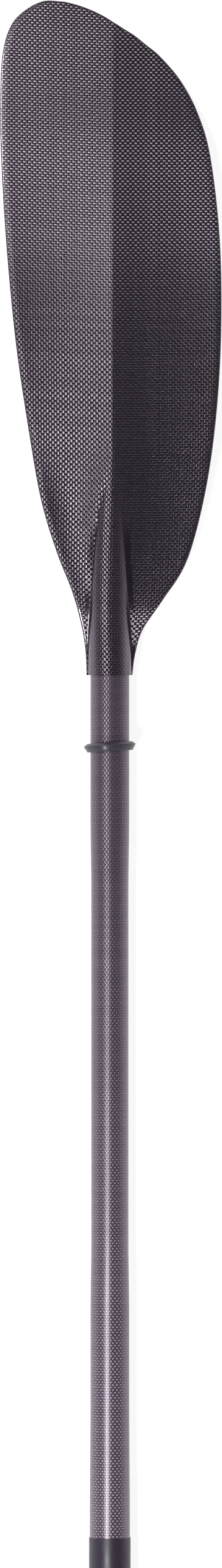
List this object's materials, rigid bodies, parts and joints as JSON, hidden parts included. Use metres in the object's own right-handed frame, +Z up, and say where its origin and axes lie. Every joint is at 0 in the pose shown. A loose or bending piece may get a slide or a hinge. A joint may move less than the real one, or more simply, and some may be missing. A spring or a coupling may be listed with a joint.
{
  "type": "kayak paddle",
  "caption": "Two-piece touring kayak paddle with an asymmetric spooned carbon blade at each end and a snap-button ferrule in the middle.",
  "frame": {"origin": "on the floor under the middle of the paddle, on the shaft's centre line", "axes": "+Y along the shaft towards the left blade, +X across the blades towards their shorter edge, +Z up, out of the power faces"},
  "size_m": [0.1669, 2.4004, 0.0397],
  "materials": {
    "blade_carbon": "carbon cloth in epoxy under a glossy clear coat",
    "blade_foam": "closed-cell foam, cut",
    "shaft_carbon": "carbon cloth in epoxy under a glossy clear coat",
    "drip_rubber": "moulded, satin",
    "plug_foam": "closed-cell foam",
    "label_film": "smooth film, satin gloss, bare",
    "ferrule_glass_fibre": "ground glass fibre tube",
    "collar_plastic": "moulded, satin",
    "gasket_rubber": "moulded, matt",
    "scale_film": "printed film with plain angle marks",
    "button_steel": "stamped spring steel, satin"
  },
  "bodies": {
    "left_half": {"left_blade_front_skin": "blade_carbon", "left_blade_back_skin": "blade_carbon", "left_blade_core": "blade_foam", "left_shaft_tube": "shaft_carbon", "left_shaft_end_plug": "plug_foam", "shaft_label": "label_film", "female_ferrule_sleeve": "ferrule_glass_fibre", "ferrule_collar": "collar_plastic", "sleeve_plug": "plug_foam"},
    "left_ring": {"left_drip_ring": "drip_rubber"},
    "gasket": {"ferrule_gasket": "gasket_rubber"},
    "right_half": {"right_blade_front_skin": "blade_carbon", "right_blade_back_skin": "blade_carbon", "right_blade_core": "blade_foam", "right_shaft_tube": "shaft_carbon", "right_shaft_end_plug": "plug_foam", "male_ferrule_spigot": "ferrule_glass_fibre", "spigot_plug": "plug_foam", "feather_scale_ring": "scale_film"},
    "right_ring": {"right_drip_ring": "drip_rubber"},
    "button": {"snap_button": "button_steel"}
  },
  "joints": [
    {"name": "left_ring_slide", "type": "slide", "parent": "left_half", "child": "left_ring", "axis": [0, 1, 0], "range_m": [-0.022, 0.045]},
    {"name": "ferrule_pull", "type": "slide", "parent": "left_half", "child": "gasket", "axis": [0, -1, 0], "range_m": [0, 0.13]},
    {"name": "feather_turn", "type": "hinge", "parent": "gasket", "child": "right_half", "pos_m": [0, -0.0668, 0.02005], "axis": [0, 1, 0], "range_deg": [-60, 60]},
    {"name": "right_ring_slide", "type": "slide", "parent": "right_half", "child": "right_ring", "axis": [0, -1, 0], "range_m": [-0.022, 0.045]},
    {"name": "button_press", "type": "slide", "parent": "right_half", "child": "button", "axis": [0, 0, -1], "range_m": [0, 0.0056], "stiffness_N_per_m": 1500, "springref_m": -0.001, "deforming": ["snap_button"]}
  ]
}
